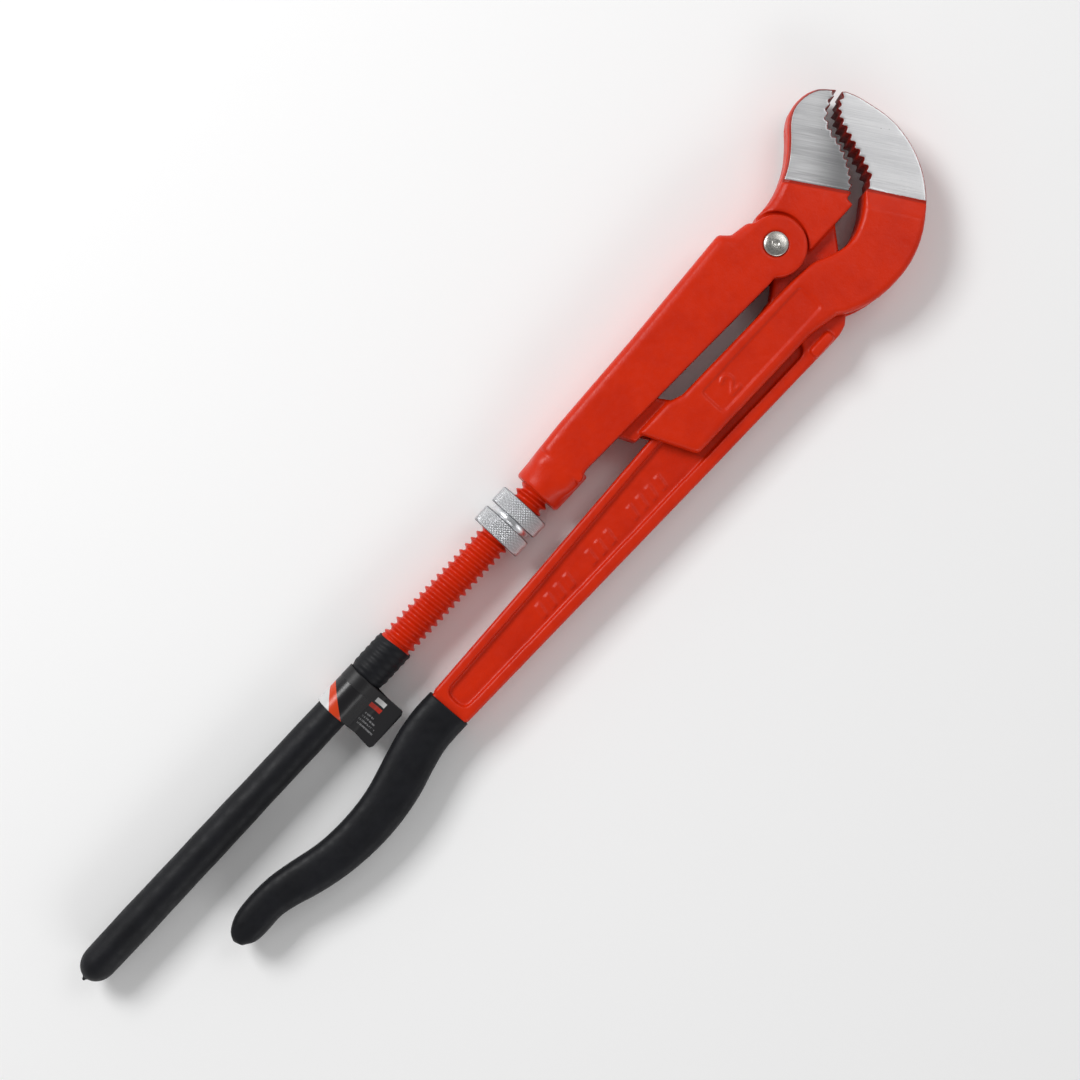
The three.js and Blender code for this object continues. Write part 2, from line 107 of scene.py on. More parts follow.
def to_mm(co):
    """Frame metres as millimetres about the rivet."""
    return (co - np.array(RIVET)) / MM


def to_metres(local):
    """Millimetres about the rivet as frame metres."""
    return local * MM + np.array(RIVET)


def node_mm(node):
    """A CAD node's vertices in millimetres about the rivet."""
    return to_mm(vertex_rows(frame["nodes"][node].data))


def reach(node, axis=0):
    """Lowest and highest place of a CAD node along an axis, in millimetres about the rivet."""
    co = node_mm(node)[:, axis]
    return co.min(), co.max()


def beside(points, line):
    """Distance of each point beyond a line, toward the jaw's teeth."""
    (ax, ay), (bx, by) = line
    length = math.hypot(bx - ax, by - ay)
    out = np.array([(ay - by) / length, (bx - ax) / length])
    return (points[:, :2] - np.array([ax, ay])) @ out


def step(values, low, high):
    """0 at low and 1 at high, with a smooth rise between."""
    t = np.clip((values - low) / (high - low), 0.0, 1.0)
    return t * t * (3 - 2 * t)


# ---- meshes --------------------------------------------------------------------------------


def add_piece(name, mesh, body, slot, material, *nodes):
    """A finished mesh as a visible piece that rides on a body and stands for CAD nodes."""
    piece = bpy.data.objects.new(name, mesh)
    bpy.context.scene.collection.objects.link(piece)
    mesh.materials.clear()
    mesh.materials.append(material)
    mesh.polygons.foreach_set("use_smooth", np.ones(len(mesh.polygons), bool))
    mesh.update()
    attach(piece, body)
    if nodes:
        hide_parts(*nodes)
    return piece


def mesh_from(name, points_mm, faces):
    """A mesh from points in millimetres about the rivet."""
    mesh = bpy.data.meshes.new(name)
    mesh.from_pydata([tuple(p) for p in to_metres(np.asarray(points_mm))], [], faces)
    mesh.validate()
    return mesh


def grid_faces(rows, columns, wrap_rows=False):
    """Quads over a grid whose columns wrap round, facing out when the rows run along +X."""
    last = rows if wrap_rows else rows - 1
    i, k = np.meshgrid(np.arange(last), np.arange(columns), indexing="ij")
    i2, k2 = (i + 1) % rows, (k + 1) % columns
    quads = np.stack([i * columns + k, i * columns + k2, i2 * columns + k2, i2 * columns + k], -1)
    return [tuple(q) for q in quads.reshape(-1, 4)[:, ::-1].tolist()]


def lathe_mesh(name, xs, radius, around, capped=True, wrap_rows=False):
    """A mesh about the spindle's axis. radius is an array of one row per x and one column per angle;
    xs may be one value per row or a full grid."""
    angle = np.linspace(0, 2 * math.pi, around, endpoint=False)
    radius = np.broadcast_to(radius if np.ndim(radius) == 2 else np.asarray(radius)[:, None],
                             (len(radius), around))
    x = np.broadcast_to(xs if np.ndim(xs) == 2 else np.asarray(xs)[:, None], radius.shape)
    points = np.stack([x, AXIS_Y + radius * np.cos(angle), radius * np.sin(angle)], -1)
    points = points.reshape(-1, 3)
    faces = grid_faces(len(radius), around, wrap_rows)
    if capped:
        count = len(points)
        ends = [[x[0].mean(), AXIS_Y, 0], [x[-1].mean(), AXIS_Y, 0]]
        points = np.vstack([points, ends])
        top = count - around
        faces += [(count, k, (k + 1) % around) for k in range(around)]
        faces += [(count + 1, top + (k + 1) % around, top + k) for k in range(around)]
    mesh = mesh_from(name, points, faces)
    outward(mesh)
    return mesh


def outward(mesh):
    """Turns every face outward."""
    bm = bmesh.new()
    bm.from_mesh(mesh)
    bmesh.ops.recalc_face_normals(bm, faces=bm.faces)
    bm.to_mesh(mesh)
    bm.free()


def with_modifier(mesh, kind, **settings):
    """A mesh after one modifier."""
    holder = bpy.data.objects.new("holder", mesh)
    bpy.context.scene.collection.objects.link(holder)
    modifier = holder.modifiers.new("m", kind)
    for key, value in settings.items():
        setattr(modifier, key, value)
    depsgraph = bpy.context.evaluated_depsgraph_get()
    done = bpy.data.meshes.new_from_object(holder.evaluated_get(depsgraph))
    bpy.data.objects.remove(holder)
    return done


def relax(mesh, passes, weight):
    """Evens out a mesh in place, so that its edges turn round. weight gives each vertex 0 to 1."""
    count = len(mesh.vertices)
    co = vertex_rows(mesh)
    edges = np.zeros(len(mesh.edges) * 2, np.int64)
    mesh.edges.foreach_get("vertices", edges)
    a, b = edges.reshape(-1, 2).T
    share = 0.5 * weight(to_mm(co))
    still = share <= 0.002
    moving = ~(still[a] & still[b])
    a, b = a[moving], b[moving]
    degree = np.maximum(np.bincount(a, minlength=count) + np.bincount(b, minlength=count), 1)
    share[still] = 0
    for _ in range(passes):
        for axis in range(3):
            c = co[:, axis]
            near = np.bincount(a, c[b], count) + np.bincount(b, c[a], count)
            co[:, axis] = c + share * (near / degree - c)
    move_vertices(mesh, co)


def press_band(mesh, line, middle, half, depth):
    """Presses a flat-bottomed band into both side faces, a set distance from a line."""
    local = to_mm(vertex_rows(mesh))
    band = np.exp(-(((beside(local, line) - middle) / half) ** 6))
    band *= step(np.abs(local[:, 2]), SIDE_FROM, SIDE_FULL)
    local[:, 2] -= np.sign(local[:, 2]) * depth * band
    move_vertices(mesh, to_metres(local))


def keep_inside(mesh, node):
    """Holds a mesh inside its CAD node's box."""
    limits = node_mm(node)
    local = np.clip(to_mm(vertex_rows(mesh)), limits.min(0), limits.max(0))
    move_vertices(mesh, to_metres(local))


def add_parting_line(mesh, weight):
    """A low ridge round the middle plane, where the dies met."""
    co, normal = vertex_rows(mesh), vertex_rows(mesh, "normal")
    local = to_mm(co)
    ridge = SEAM * np.exp(-(local[:, 2] / SEAM_WIDTH) ** 2) * weight(local) * (1 - normal[:, 2] ** 2)
    move_vertices(mesh, co + normal * ridge[:, None] * MM)


def forging(name, node, body, material, passes, weight, shape=None):
    """A CAD node with the round edges and the faint parting line of a drop forging. shape changes
    the fresh mesh first."""
    mesh = frame["nodes"][node].data.copy()
    mesh = with_modifier(mesh, "REMESH", mode="VOXEL", voxel_size=VOXEL * MM)
    if shape:
        shape(mesh)
    relax(mesh, passes, weight)
    if node in PRESSED:
        press_band(mesh, *PRESSED[node])
    add_parting_line(mesh, weight)
    mesh = with_modifier(mesh, "DECIMATE", ratio=KEEP)
    keep_inside(mesh, node)
    mesh.name = name
    return add_piece(name, mesh, body, "red_paint", material, node)


# ---- material kit ----------------------------------------------------------------------------


class Graph:
    """A material's node tree with short names for the steps used here."""

    def __init__(self, name):
        self.material = bpy.data.materials.new(name)
        self.material.use_nodes = True
        self.tree = self.material.node_tree
        self.shader = self.tree.nodes["Principled BSDF"]
        self.place = self.node("ShaderNodeTexCoord").outputs["Object"]

    def node(self, kind, inputs=None, **settings):
        made = self.tree.nodes.new(kind)
        for key, value in settings.items():
            setattr(made, key, value)
        for key, value in (inputs or {}).items():
            self.put(made.inputs[key], value)
        return made

    def put(self, socket, value):
        if isinstance(value, bpy.types.NodeSocket):
            self.tree.links.new(value, socket)
        else:
            socket.default_value = value

    def set(self, **values):
        for key, value in values.items():
            self.put(self.shader.inputs[key.replace("_", " ")], value)

    def math(self, operation, a, b=0.0):
        return self.node("ShaderNodeMath", {0: a, 1: b}, operation=operation).outputs[0]

    def ramp(self, value, low, high, to_low=0.0, to_high=1.0):
        inputs = {0: value, 1: low, 2: high, 3: to_low, 4: to_high}
        return self.node("ShaderNodeMapRange", inputs, interpolation_type="SMOOTHSTEP").outputs[0]

    def mix(self, amount, a, b):
        return self.node("ShaderNodeMix", {0: amount, 2: a, 3: b}, data_type="FLOAT").outputs[0]

    def blend(self, amount, a, b):
        return self.node("ShaderNodeMix", {0: amount, 6: a, 7: b}, data_type="RGBA").outputs[2]

    def noise(self, scale, detail=2.0, rough=0.5, at=None):
        inputs = {"Vector": at or self.place, "Scale": scale, "Detail": detail, "Roughness": rough}
        return self.node("ShaderNodeTexNoise", inputs).outputs["Fac"]

    def spots(self, scale):
        inputs = {"Vector": self.place, "Scale": scale}
        return self.node("ShaderNodeTexVoronoi", inputs).outputs["Distance"]

    def local(self, origin, turn=0.0, stretch=(1, 1, 1)):
        """Object coordinates about a point, turned about +Z and then stretched."""
        moved = self.node("ShaderNodeVectorMath", {0: self.place, 1: tuple(origin)}, operation="SUBTRACT")
        turned = self.node("ShaderNodeVectorRotate", {"Vector": moved.outputs[0], "Angle": turn},
                           rotation_type="Z_AXIS")
        return self.node("ShaderNodeVectorMath", {0: turned.outputs[0], 1: stretch},
                         operation="MULTIPLY").outputs[0]

    def axes(self, vector):
        return self.node("ShaderNodeSeparateXYZ", {0: vector}).outputs

    def bump(self, height, distance, after=None):
        inputs = {"Height": height, "Distance": distance, "Strength": 1.0}
        made = self.node("ShaderNodeBump", inputs)
        if after:
            self.tree.links.new(after, made.inputs["Normal"])
        return made.outputs["Normal"]


RED = (0.62, 0.023, 0.002, 1)
RED_DEEP = (0.56, 0.019, 0.002, 1)


def paint_colour(g):
    """Powder coat that thins and darkens a little from place to place."""
    return g.blend(g.ramp(g.noise(55, 3, 0.6), 0.35, 0.7), RED, RED_DEEP)


def paint_relief(g, share=1.0):
    """Orange peel over the slow waves of a forged surface."""
    waves = g.bump(g.math("MULTIPLY", g.noise(130, 2, 0.5), share), 0.0003)
    return g.bump(g.math("MULTIPLY", g.noise(1100, 2, 0.6), share), 0.00008, waves)


def paint(name, face=None):
    """Red powder coat, with a ground steel side face beyond a line if one is given."""
    g = Graph(name)
    colour = paint_colour(g)
    rough = g.ramp(g.noise(260, 3), 0.3, 0.75, 0.30, 0.42)
    g.set(Specular_IOR_Level=0.22)
    if face:
        steel, shine, scratches, mask, teeth, painted_step_shadow = ground_steel(g, *face)
        # painted shadow: a dark red line along the paint just under the ground face's step
        colour = g.blend(g.math("MULTIPLY", painted_step_shadow, 0.6), colour, (0.16, 0.005, 0.002, 1))
        # painted shade: the tooth sides in the gap between the jaws are coloured a darker red
        colour = g.blend(g.math("MULTIPLY", teeth, 0.62), colour, (0.12, 0.004, 0.003, 1))
        colour = g.blend(mask, colour, steel)
        rough = g.mix(mask, rough, shine)
        relief = paint_relief(g, g.math("SUBTRACT", 1.0, mask))
        relief = g.bump(g.math("MULTIPLY", scratches, mask), 0.00004, relief)
        g.set(Metallic=mask)
    else:
        relief = paint_relief(g)
    g.set(Base_Color=colour, Roughness=rough, Normal=relief)
    return g.material


def ground_steel(g, line, tones, fade, teeth):
    """A side face ground flat beyond a line: its colour, roughness and scratch height, and the masks
    of the face, of the painted shade on the tooth sides and of a painted shadow line just under the
    face's step. tones give its brushed brightness, and fade a painted shade darkening it along the line."""
    (ax, ay), (bx, by) = line
    turn = math.atan2(by - ay, bx - ax)
    along, out, _ = g.axes(g.local(place(ax, ay), -turn))
    depth = g.math("ABSOLUTE", g.axes(g.local(RIVET))[2])
    wander = g.math("MULTIPLY", g.math("SUBTRACT", g.noise(600, 2), 0.5), 0.0005)
    face = g.ramp(depth, (GROUND_HALF - 0.14) * MM, (GROUND_HALF - 0.06) * MM)
    past = g.ramp(g.math("ADD", out, wander), 0.0, 0.0003)
    mask = g.math("MULTIPLY", face, past)
    fine = g.noise(1.0, 3, 0.6, g.local(place(ax, ay), -turn, (45, 1700, 200)))
    broad = g.noise(1.0, 2, 0.5, g.local(place(ax, ay), -turn, (14, 160, 60)))
    brushed = g.math("ADD", g.math("MULTIPLY", fine, 0.6), g.math("MULTIPLY", broad, 0.4))
    specks = g.math("MULTIPLY", g.ramp(g.spots(260), 0.04, 0.1, 1.0, 0.0),
                    g.ramp(g.noise(70, 1), 0.6, 0.66))
    low, high = tones
    tone = g.blend(g.ramp(brushed, 0.3, 0.7), (low, low, low * 1.02, 1), (high, high, high * 1.01, 1))
    # painted shade: from near to far along the line the face's colour darkens toward near black, by up to 1
    # - dim
    near, far, dim = fade
    shade = g.ramp(along, near * MM, far * MM, 0.0, 1 - dim)
    tone = g.blend(shade, tone, (0.02, 0.02, 0.023, 1))
    tone = g.blend(g.math("MULTIPLY", specks, 0.7), tone, (0.10, 0.09, 0.085, 1))
    # painted shade: marks the tooth sides beyond the line, to be coloured darker red
    start, slope, side = teeth
    across = g.math("SUBTRACT", g.math("ADD", along, g.math("MULTIPLY", out, slope)), start * MM)
    painted_tooth_shade = g.math("MULTIPLY", g.ramp(g.math("MULTIPLY", across, side), -0.0005, 0.0005), past)
    # painted shadow: marks a thin band of paint just below the ground face's step, to be coloured dark
    painted_step_shadow = g.math("MULTIPLY", g.ramp(out, -0.0020, -0.0008), g.ramp(depth, 0.0075, 0.0082))
    return tone, g.ramp(fine, 0.3, 0.7, 0.30, 0.46), fine, mask, painted_tooth_shade, painted_step_shadow


def dipped_plastic(name):
    """Black dipped plastic: satin, slightly uneven, with a few finer pits."""
    g = Graph(name)
    patch = g.noise(70, 3, 0.6)
    dark, light = (0.0045, 0.0048, 0.0065, 1), (0.007, 0.0075, 0.010, 1)
    g.set(Base_Color=g.blend(g.ramp(patch, 0.3, 0.7), dark, light),
          Roughness=g.ramp(g.noise(240, 3), 0.3, 0.7, 0.46, 0.58), Specular_IOR_Level=0.22,
          Normal=g.bump(g.noise(1700, 2), 0.00005, g.bump(g.noise(110, 2), 0.0003)))
    return g.material


def zinc(name):
    """Zinc-plated steel with darker, duller valleys between the knurls; their darker colour is painted
    shade.
    """
    g = Graph(name)
    _, y, z = g.axes(g.local(AXIS))
    radius = g.math("SQRT", g.math("ADD", g.math("MULTIPLY", y, y), g.math("MULTIPLY", z, z)))
    crown = reach("adjusting_nut", 2)[1] * MM
    # painted shade: the knurls' valleys are coloured dark, their crowns and the smooth groove light
    valley = g.ramp(radius, crown - 1.5 * MM, crown - 1.2 * MM)
    top = g.ramp(radius, crown - (KNURL_DEPTH + 0.05) * MM, crown - 0.08 * MM)
    top = g.math("MAXIMUM", top, g.math("SUBTRACT", 1.0, valley))
    grain = g.noise(2400, 2)
    tone = g.blend(g.math("MULTIPLY", top, g.ramp(grain, 0.2, 0.8, 0.75, 1.0)),
                   (0.20, 0.20, 0.21, 1), (0.86, 0.87, 0.89, 1))
    g.set(Base_Color=tone, Metallic=1.0, Roughness=g.ramp(g.noise(500, 3), 0.3, 0.7, 0.28, 0.40),
          Normal=g.bump(grain, 0.000005))
    return g.material


def bright_rivet(name):
    """Bright plated rivet head with the rings of the tool that set it."""
    g = Graph(name)
    x, y, _ = g.axes(g.local(RIVET))
    radius = g.math("SQRT", g.math("ADD", g.math("MULTIPLY", x, x), g.math("MULTIPLY", y, y)))
    rings = g.math("SINE", g.math("MULTIPLY", radius, 2 * math.pi / (0.45 * MM)))
    g.set(Base_Color=g.blend(g.noise(500, 3), (0.42, 0.40, 0.37, 1), (0.68, 0.66, 0.62, 1)), Metallic=1.0,
          Roughness=g.ramp(g.noise(900, 2), 0.3, 0.7, 0.22, 0.34),
          Normal=g.bump(rings, 0.000004, g.bump(g.noise(600, 2), 0.000012)))
    return g.material


# ---- forgings --------------------------------------------------------------------------------


def inside(points, x0, x1, y0, y1):
    """1 for points inside a rectangle, fading out over a millimetre round it."""
    x, y = points[:, 0], points[:, 1]
    return step(x, x0 - 1, x0) * step(-x, -x1 - 1, -x1) * step(y, y0 - 1, y0) * step(-y, -y1 - 1, -y1)


def everywhere(points):
    return np.ones(len(points))


def lever_softness(points):
    """Full rounding on the forged lever, little on its ground jaw face and teeth and on the bars."""
    jaw = step(beside(points, LEVER_STEP), -1.5, 0.5)
    return (1 - 0.9 * jaw) * (1 - 0.75 * inside(points, *LEVER_BARS))


def hook_softness(points):
    """Full rounding on the forged hook, little on its ground face and teeth and on its panel."""
    jaw = step(beside(points, HOOK_STEP), -3.0, 0.0)
    return (1 - 0.9 * jaw) * (1 - 0.75 * inside(points, *HOOK_PANEL))


def foot_blend(points):
    """The stretch where the link's channel runs out into its round sleeve, above its lower edge."""
    return np.exp(-(((points[:, 0] - SLEEVE_TOP) / FOOT_HALF) ** 2)) * step(points[:, 1], -8, -4)


def flare_sleeve(mesh):
    """Swells the link's sleeve from round at its free end to the channel's square section."""
    local, normal = to_mm(vertex_rows(mesh)), vertex_rows(mesh, "normal")
    x, y, z = local[:, 0], local[:, 1] - AXIS_Y, local[:, 2]
    r = np.hypot(y, z)
    facing = (normal[:, 1] * y + normal[:, 2] * z) / r
    crown = SLEEVE_R + FLARE_TAPER * np.clip(x - SLEEVE_FOOT, 0, 40)
    flat = RIVET.z / MM
    square = ((np.abs(y) / r / crown) ** FLARE_POWER + (np.abs(z) / r / flat) ** FLARE_POWER) ** (
        -1 / FLARE_POWER)
    blend = step(x, SLEEVE_FOOT + 1, SLEEVE_TOP)
    target = (SLEEVE_R - 0.05) * (1 - blend) + square * blend
    outer = (r > SLEEVE_R - 2) & (facing > 0.1) & (x > SLEEVE_FOOT + 1) & (x < FLARE_END)
    grow = np.where(outer, np.clip(target - r, 0, FLARE_MOST), 0) * step(y, -12.5, -9)
    grow *= 1 - step(x, SLEEVE_TOP, FLARE_END - 1)
    local[:, 1] += grow * y / r
    local[:, 2] += grow * z / r
    move_vertices(mesh, to_metres(local))
    relax(mesh, FOOT_PASSES, foot_blend)


def make_forgings():
    """The three forgings. A ground face is given as its line, tones, fade and teeth."""
    plain = paint("red_powder_coat")
    forging("link_body", "link_channel", "link", plain, 14, everywhere, shape=flare_sleeve)
    # painted shade: the lever's face gets darker tones than the hook's and a fade along its line; teeth
    # place the painted shade on each jaw's tooth sides
    lever = paint("red_lever", (LEVER_FACE, (0.50, 0.72), (3, 24, 0.36), (26, 0.5, 1)))
    hook = paint("red_hook", (HOOK_FACE, (0.62, 0.80), (0, 30, 1.0), (3, 0.58, -1)))
    forging("lever_body", "jaw_lever", "lever", lever, 8, lever_softness)
    forging("hook_body", "hook_jaw", "hook", hook, 7, hook_softness)


# ---- spindle, nut and rivet --------------------------------------------------------------------


def thread_radius(x, angle, grow=0.0):
    """Rounded right-handed thread about the spindle, in millimetres."""
    turn = 2 * math.pi * x / PITCH - angle
    wave = np.cos(turn) + 0.10 * np.cos(2 * turn) - 0.10
    return (CREST_R + ROOT_R) / 2 + (CREST_R - ROOT_R) / 2 * wave + grow


def make_spindle():
    around = 72
    foot, tip = reach("threaded_spindle")
    angle = np.linspace(0, 2 * math.pi, around, endpoint=False)[None, :]
    lead, thread_end, shoulder = -262.0, -160.5, -118.3
    xs = np.arange(lead, thread_end, PITCH / 16)[:, None]
    fade = step(xs, lead, lead + 2) * (1 - step(xs, thread_end - 3, thread_end))
    thread = NECK_R + fade * (thread_radius(xs, angle) - NECK_R)
    before = [(foot, CORE_R - 2), (foot + 2, CORE_R), (-284.0, CORE_R), (-283.0, CORE_R + 1)]
    after = [(shoulder - 1.5, NECK_R), (shoulder, TENON_R + 1.4), (shoulder + 0.1, TENON_R),
             (tip - 0.6, TENON_R), (tip, TENON_R - 0.6)]
    below, above = ([np.full((1, around), r) for _, r in part] for part in (before, after))
    rows = below + [thread] + above
    places = np.concatenate([[x for x, _ in before], xs[:, 0], [x for x, _ in after]])
    mesh = lathe_mesh("spindle", places, np.vstack(rows), around)
    add_piece("spindle", mesh, "hook", "red_paint", paint("red_spindle"), "threaded_spindle")


def knurled(x, angle, radius):
    """A diamond knurl cut into a cylinder."""
    lean = 2 * math.pi * x / 1.16
    one = np.abs(((KNURL_COUNT * angle + lean) / math.pi) % 2 - 1)
    two = np.abs(((KNURL_COUNT * angle - lean) / math.pi) % 2 - 1)
    return radius - KNURL_DEPTH * np.clip(1.35 * np.maximum(one, two) - 0.25, 0, 1)


def make_nut():
    around = KNURL_COUNT * 7
    x0, x1 = reach("adjusting_nut")
    crown = reach("adjusting_nut", 2)[1]
    angle = np.linspace(0, 2 * math.pi, around, endpoint=False)[None, :]
    inner, chamfer = CREST_R + THREAD_RUN, 0.7

    def ring(a, b):
        xs = np.linspace(a, b, 56)[:, None]
        edge = np.minimum(xs - a, b - xs)
        top = crown - (chamfer - np.clip(edge, 0, chamfer))
        return xs, np.minimum(knurled(xs, angle, crown), top)

    def line(points):
        places, radii = zip(*points)
        return np.array(places)[:, None], np.repeat(np.array(radii)[:, None], around, 1)

    left, right = x0 + NUT_RING, x1 - NUT_RING
    bore = np.linspace(x1 - 0.5, x0 + 0.5, 64)[:, None]
    parts = [line([(x0, inner + 0.9), (x0, crown - chamfer - 0.4)]), ring(x0, left),
             line([(left, NUT_GROOVE_R + 0.5), (left + 0.3, NUT_GROOVE_R)]),
             line([(right - 0.3, NUT_GROOVE_R), (right, NUT_GROOVE_R + 0.5)]), ring(right, x1),
             line([(x1, crown - chamfer - 0.4), (x1, inner + 0.9)]),
             (bore, thread_radius(bore, angle, THREAD_RUN))]
    places = np.vstack([p for p, _ in parts])[:, 0]
    radii = np.vstack([r for _, r in parts])
    mesh = lathe_mesh("nut", places, radii, around, capped=False, wrap_rows=True)
    add_piece("knurled_nut", mesh, "nut", "zinc_steel", zinc("zinc_nut"), "adjusting_nut")


def make_rivet():
    """Shank with a flush tail, and a domed head with a small dimple."""
    z0, z1 = reach("pivot_rivet", 2)
    head = reach("pivot_rivet", 0)[1]
    face = -z0  # the ears' outer faces are this far from the middle plane
    dome = [(head * math.cos(t), face + 0.3 + (z1 - face - 0.3) * math.sin(t))
            for t in np.linspace(0, 1.3, 12)]
    dimple = [(2.0, z1 - 0.03), (1.7, z1 - 0.1), (1.3, z1 - 0.38), (0.8, z1 - 0.52), (0.3, z1 - 0.56)]
    shank = [(head - 0.4, z0), (head, z0 + 0.35), (5.0, z0 + 2.3), (5.0, face - 2.3),
             (head, face - 0.2)]
    profile = np.array(shank + dome + dimple)
    around = 96
    angle = np.linspace(0, 2 * math.pi, around, endpoint=False)
    points = np.stack([profile[:, :1] * np.cos(angle), profile[:, :1] * np.sin(angle),
                       np.repeat(profile[:, 1:], around, 1)], -1).reshape(-1, 3)
    count, top = len(points), len(points) - around
    points = np.vstack([points, [[0, 0, z0], [0, 0, profile[-1, 1]]]])
    faces = grid_faces(len(profile), around)
    faces += [(count, (k + 1) % around, k) for k in range(around)]
    faces += [(count + 1, top + k, top + (k + 1) % around) for k in range(around)]
    mesh = mesh_from("rivet", points, faces)
    outward(mesh)
    add_piece("rivet", mesh, "link", "bright_rivet", bright_rivet("bright_rivet"), "pivot_rivet")


# ---- grips -----------------------------------------------------------------------------------


def make_spindle_grip():
    """Plastic dipped over the handle and the last threads, drawn down to a small drip at the tip."""
    around = 96
    co = node_mm("spindle_grip")
    r = np.hypot(co[:, 1] - AXIS_Y, co[:, 2])
    tip, lip = co[:, 0].min(), co[:, 0].max()
    angle = np.linspace(0, 2 * math.pi, around, endpoint=False)[None, :]
    stations = [x for x in np.unique(np.round(co[:, 0], 2)) if x > NOSE_X]
    known = [(x, r[np.abs(co[:, 0] - x) < 0.02].max()) for x in stations]
    known = np.array([(x, rad) for x, rad in known if rad > 8.2])
    xs = np.concatenate([np.linspace(NOSE_X, -284, 150), np.linspace(-283.6, lip - 0.9, 90)])
    radius = np.interp(xs, known[:, 0], known[:, 1])
    radius = np.convolve(np.pad(radius, 3, mode="edge"), np.ones(7) / 7, "valid")[:, None]
    waves = 0.05 * np.sin(xs / 9.0) + 0.04 * np.sin(xs / 3.7 + 1)
    covered = step(xs, -282.5, -280)[:, None]
    ripple = 0.16 * np.cos(2 * math.pi * xs[:, None] / PITCH - angle) - 0.12
    body = radius - 0.1 + waves[:, None] * (1 - covered) + covered * ripple
    drip = [(tip + 0.12, 0.3), (tip + 0.3, 0.62), (tip + 0.7, 0.85), (tip + 1.2, 1.0), (tip + 1.55, 1.35)]
    turns = np.linspace(1.35, 0.06, 16)
    nose = drip + [(NOSE_X - 10 * math.sin(t), 8.42 * math.cos(t)) for t in turns]
    lip_rows = [(lip - 0.45, 9.0), (lip - 0.15, 8.9), (lip, 8.8), (lip - 0.05, 8.72)]
    inner = [(lip - 1.0, 8.7), (-262.2, 8.3), (-282.0, 8.2), (-284.5, 7.2), (tip + 8.0, 7.2),
              (tip + 7.0, 5.0)]
    slant = -0.8 * np.cos(angle) + 0.15 * np.cos(3 * angle + 1)
    rows, places = [], []
    for x, rad in nose:
        rows.append(np.full((1, around), rad))
        places.append(np.full((1, around), x))
    rows.append(body)
    places.append(np.repeat(xs[:, None], around, 1))
    for x, rad in lip_rows:
        rows.append(np.full((1, around), rad) + 0.08 * np.cos(angle * 2))
        places.append(np.full((1, around), x))
    for x, rad in inner:
        rows.append(np.full((1, around), rad))
        places.append(np.full((1, around), x))
    places, rows = np.vstack(places), np.vstack(rows)
    places = places + (slant - 0.9) * step(places, lip - 14, lip)
    mesh = lathe_mesh("spindle_grip", places, rows, around)
    add_piece("spindle_sleeve", mesh, "hook", "black_dip", BLACK, "spindle_grip")


def edges_of(node, xs):
    """Highest and lowest y of a CAD node at each x, by casting rays at it in the middle plane."""
    me = frame["nodes"][node].data
    tree = BVHTree.FromPolygons([v.co for v in me.vertices], [tuple(p.vertices) for p in me.polygons])
    hits = []
    for x in xs:
        pair = []
        for side in (1, -1):
            hit = tree.ray_cast(place(x, -40 + 200 * side, 0.13), Vector((0, -side, 0)))[0]
            pair.append((hit.y - RIVET.y) / MM if hit else float("nan"))
        hits.append(pair)
    return np.array(hits)


def make_lever_grip():
    """Plastic dipped over the lever's S-bent end: an oval section that follows its two edges."""
    around = 96
    tip, lip = reach("lever_grip")
    half = reach("lever_grip", 2)[1]
    tail = tip + 0.12 + 14 * (1 - np.cos(np.linspace(0.1, math.pi / 2, 26)))
    xs = np.concatenate([tail, np.linspace(tip + 14.6, lip - 0.25, 170)])
    edges = edges_of("lever_grip", xs)
    kernel = np.hanning(9)[1:-1] / np.hanning(9)[1:-1].sum()
    middle, tall = edges.mean(1), (edges[:, 0] - edges[:, 1]) / 2
    body = slice(24, None)
    for line in (middle, tall):
        line[body] = np.convolve(np.pad(line[body], 3, mode="reflect", reflect_type="odd"), kernel, "valid")
    angle = np.linspace(0, 2 * math.pi, around, endpoint=False)[None, :]
    c, s = np.cos(angle), np.sin(angle)
    power = 2 / 2.7
    sink = 0.05  # the web's hollow shows faintly through the plastic

    def section(x, mid, high, thick):
        y = mid + high * np.sign(c) * np.abs(c) ** power
        z = thick * np.sign(s) * np.abs(s) ** power * (1 - sink * s**4)
        return np.stack([np.full_like(y, x), y, z], -1)

    thick = half * np.clip(tall / 8.6, 0, 1) ** 0.55 - 0.05 * (1 + np.sin(xs / 7.0))
    rows = [section(x, m, t, k) for x, m, t, k in zip(xs, middle, tall, thick)]
    end, m, t, k = xs[-1], middle[-1], tall[-1], thick[-1]
    for dx, shrink in ((0.12, 0.25), (0.2, 0.6), (0.1, 0.95), (-1.0, 1.05), (-6.0, 1.3)):
        rows.append(section(end + dx, m, t - shrink, k - shrink))
    points = np.concatenate(rows)
    slant = -0.5 * (points[..., 1] - m) / t - 0.6
    points[..., 0] += np.where(points[..., 0] > lip - 12, slant * step(points[..., 0], lip - 12, lip), 0)
    points = points.reshape(-1, 3)
    count, top = len(points), len(points) - around
    points = np.vstack([points, [[points[:around, 0].mean(), middle[0], 0], [end - 6.5, m, 0]]])
    faces = grid_faces(len(rows), around)
    faces += [(count, k2, (k2 + 1) % around) for k2 in range(around)]
    faces += [(count + 1, top + (k2 + 1) % around, top + k2) for k2 in range(around)]
    mesh = mesh_from("lever_grip", points, faces)
    outward(mesh)
    add_piece("lever_sleeve", mesh, "lever", "black_dip", BLACK, "lever_grip")


# ---- hang tag ----------------------------------------------------------------------------------

TAG_STUCK = -11.5  # below this height the two ends are stuck together
TAG_R = 9.12


